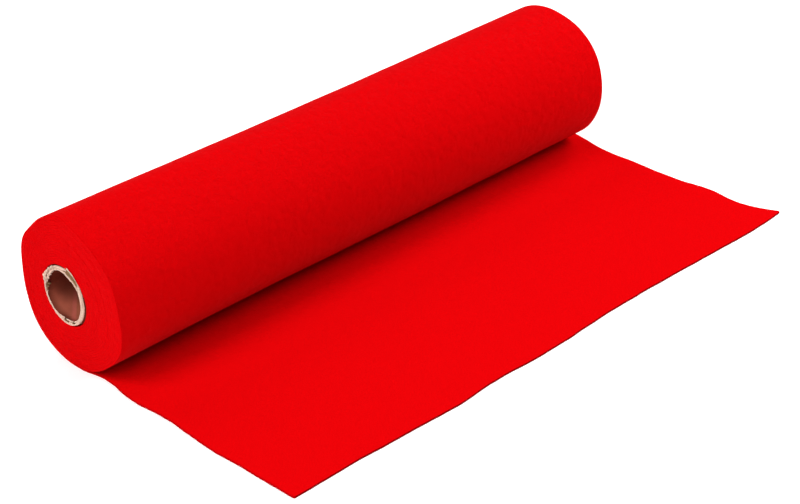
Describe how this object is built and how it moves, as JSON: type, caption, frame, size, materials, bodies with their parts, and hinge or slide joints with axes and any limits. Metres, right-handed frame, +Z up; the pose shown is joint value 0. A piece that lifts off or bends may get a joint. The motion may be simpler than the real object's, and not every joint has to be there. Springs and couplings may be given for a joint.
{
  "type": "roll of felt",
  "caption": "Roll of craft felt wound on a paper tube, resting on its side with the outer end of the felt drawn out flat in front of it.",
  "frame": {"origin": "on the surface, under the middle of the roll, at the resting face's point", "axes": "+X along the tube, away from the end that shows its rim in the picture; -Y the way the felt draws out; +Z up"},
  "size_m": [0.458, 0.2559, 0.1038],
  "materials": {
    "felt": "matte pressed felt",
    "paper_tube": "matte brown paper tube with a paler torn rim"
  },
  "bodies": {
    "root": {"felt": "felt", "core_tube": "paper_tube"}
  },
  "joints": []
}
